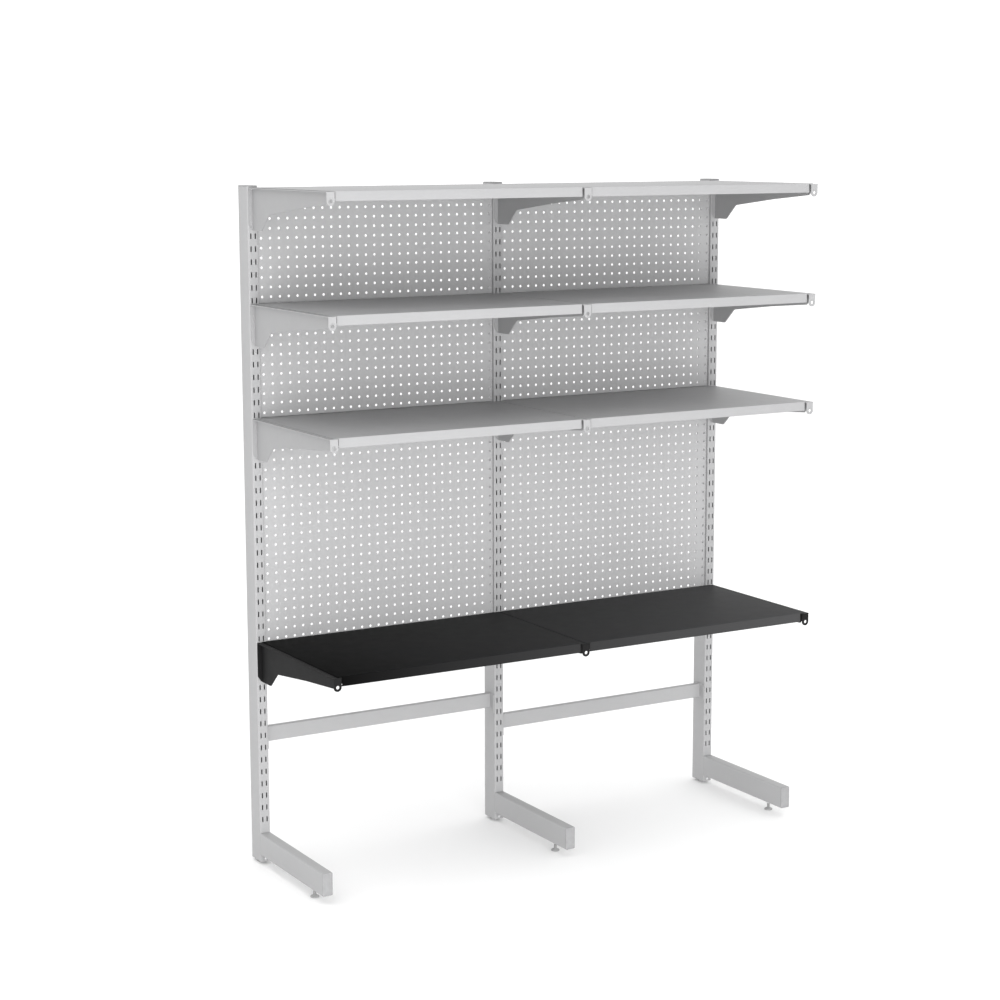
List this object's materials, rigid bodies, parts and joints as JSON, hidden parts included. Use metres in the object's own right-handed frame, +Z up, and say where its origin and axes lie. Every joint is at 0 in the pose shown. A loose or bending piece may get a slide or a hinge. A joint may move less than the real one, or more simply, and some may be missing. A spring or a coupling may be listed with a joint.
{
  "type": "gondola shelving unit",
  "caption": "Freestanding gondola shelving with perforated back panels, bracketed steel shelves, a dark desk-height shelf and an open base on forward legs.",
  "frame": {"origin": "on the floor, at the centre of the unit's footprint box", "axes": "+Z up; the shelves face -Y; +X runs from the left bay to the right bay as seen from the front"},
  "size_m": [1.795, 0.6278, 2.1863],
  "materials": {
    "frame_steel": "satin pale grey powder coat on uprights, legs and crossbars",
    "shelf_steel": "satin pale grey powder coat on the upper shelves and brackets",
    "panel_steel": "satin pale grey powder coat on perforated sheet",
    "desk_steel": "satin black powder coat on the desk shelf and its brackets",
    "cap_plastic": "moulded grey plastic caps",
    "foot_plastic": "dark moulded foot pads and inserts",
    "zinc": "bright zinc-plated screws and bolts"
  },
  "bodies": {
    "frame": {"upright_left": "frame_steel", "upright_cap_left": "cap_plastic", "foot_insert_left": "foot_plastic", "foot_screw_left": "zinc", "base_leg_left": "frame_steel", "leg_cap_left": "cap_plastic", "leg_bolt_left_lower": "zinc", "leg_bolt_left_upper": "zinc", "bracket_desk_left": "desk_steel", "bracket_lower_left": "shelf_steel", "bracket_middle_left": "shelf_steel", "bracket_top_left": "shelf_steel", "upright_middle": "frame_steel", "upright_cap_middle": "cap_plastic", "foot_insert_middle": "foot_plastic", "foot_screw_middle": "zinc", "base_leg_middle": "frame_steel", "leg_cap_middle": "cap_plastic", "leg_bolt_middle_lower": "zinc", "leg_bolt_middle_upper": "zinc", "bracket_desk_middle": "desk_steel", "bracket_lower_middle": "shelf_steel", "bracket_middle_middle": "shelf_steel", "bracket_top_middle": "shelf_steel", "upright_right": "frame_steel", "upright_cap_right": "cap_plastic", "foot_insert_right": "foot_plastic", "foot_screw_right": "zinc", "base_leg_right": "frame_steel", "leg_cap_right": "cap_plastic", "leg_bolt_right_lower": "zinc", "leg_bolt_right_upper": "zinc", "bracket_desk_right": "desk_steel", "bracket_lower_right": "shelf_steel", "bracket_middle_right": "shelf_steel", "bracket_top_right": "shelf_steel", "crossbar_left": "frame_steel", "back_panel_lower_left": "panel_steel", "back_panel_middle_left": "panel_steel", "back_panel_upper_left": "panel_steel", "crossbar_right": "frame_steel", "back_panel_lower_right": "panel_steel", "back_panel_middle_right": "panel_steel", "back_panel_upper_right": "panel_steel"},
    "desk_shelf_left": {"deck_desk_left": "desk_steel"},
    "desk_shelf_right": {"deck_desk_right": "desk_steel"},
    "lower_shelf_left": {"deck_lower_left": "shelf_steel"},
    "lower_shelf_right": {"deck_lower_right": "shelf_steel"},
    "middle_shelf_left": {"deck_middle_left": "shelf_steel"},
    "middle_shelf_right": {"deck_middle_right": "shelf_steel"},
    "top_shelf_left": {"deck_top_left": "shelf_steel"},
    "top_shelf_right": {"deck_top_right": "shelf_steel"},
    "front_leveller_left": {"front_foot_left": "foot_plastic"},
    "front_leveller_middle": {"front_foot_middle": "foot_plastic"},
    "front_leveller_right": {"front_foot_right": "foot_plastic"},
    "rear_leveller_left": {"rear_foot_left": "foot_plastic"},
    "rear_leveller_middle": {"rear_foot_middle": "foot_plastic"},
    "rear_leveller_right": {"rear_foot_right": "foot_plastic"}
  },
  "joints": [
    {"name": "lift_desk_shelf_left", "type": "slide", "parent": "frame", "child": "desk_shelf_left", "axis": [0, 0, 1], "range_m": [0, 0.06]},
    {"name": "lift_desk_shelf_right", "type": "slide", "parent": "frame", "child": "desk_shelf_right", "axis": [0, 0, 1], "range_m": [0, 0.06]},
    {"name": "lift_lower_shelf_left", "type": "slide", "parent": "frame", "child": "lower_shelf_left", "axis": [0, 0, 1], "range_m": [0, 0.06]},
    {"name": "lift_lower_shelf_right", "type": "slide", "parent": "frame", "child": "lower_shelf_right", "axis": [0, 0, 1], "range_m": [0, 0.06]},
    {"name": "lift_middle_shelf_left", "type": "slide", "parent": "frame", "child": "middle_shelf_left", "axis": [0, 0, 1], "range_m": [0, 0.06]},
    {"name": "lift_middle_shelf_right", "type": "slide", "parent": "frame", "child": "middle_shelf_right", "axis": [0, 0, 1], "range_m": [0, 0.06]},
    {"name": "lift_top_shelf_left", "type": "slide", "parent": "frame", "child": "top_shelf_left", "axis": [0, 0, 1], "range_m": [0, 0.06]},
    {"name": "lift_top_shelf_right", "type": "slide", "parent": "frame", "child": "top_shelf_right", "axis": [0, 0, 1], "range_m": [0, 0.06]},
    {"name": "level_front_foot_left", "type": "slide", "parent": "frame", "child": "front_leveller_left", "axis": [0, 0, -1], "range_m": [0, 0.012]},
    {"name": "level_front_foot_middle", "type": "slide", "parent": "frame", "child": "front_leveller_middle", "axis": [0, 0, -1], "range_m": [0, 0.012]},
    {"name": "level_front_foot_right", "type": "slide", "parent": "frame", "child": "front_leveller_right", "axis": [0, 0, -1], "range_m": [0, 0.012]},
    {"name": "level_rear_foot_left", "type": "slide", "parent": "frame", "child": "rear_leveller_left", "axis": [0, 0, -1], "range_m": [0, 0.012]},
    {"name": "level_rear_foot_middle", "type": "slide", "parent": "frame", "child": "rear_leveller_middle", "axis": [0, 0, -1], "range_m": [0, 0.012]},
    {"name": "level_rear_foot_right", "type": "slide", "parent": "frame", "child": "rear_leveller_right", "axis": [0, 0, -1], "range_m": [0, 0.012]}
  ]
}
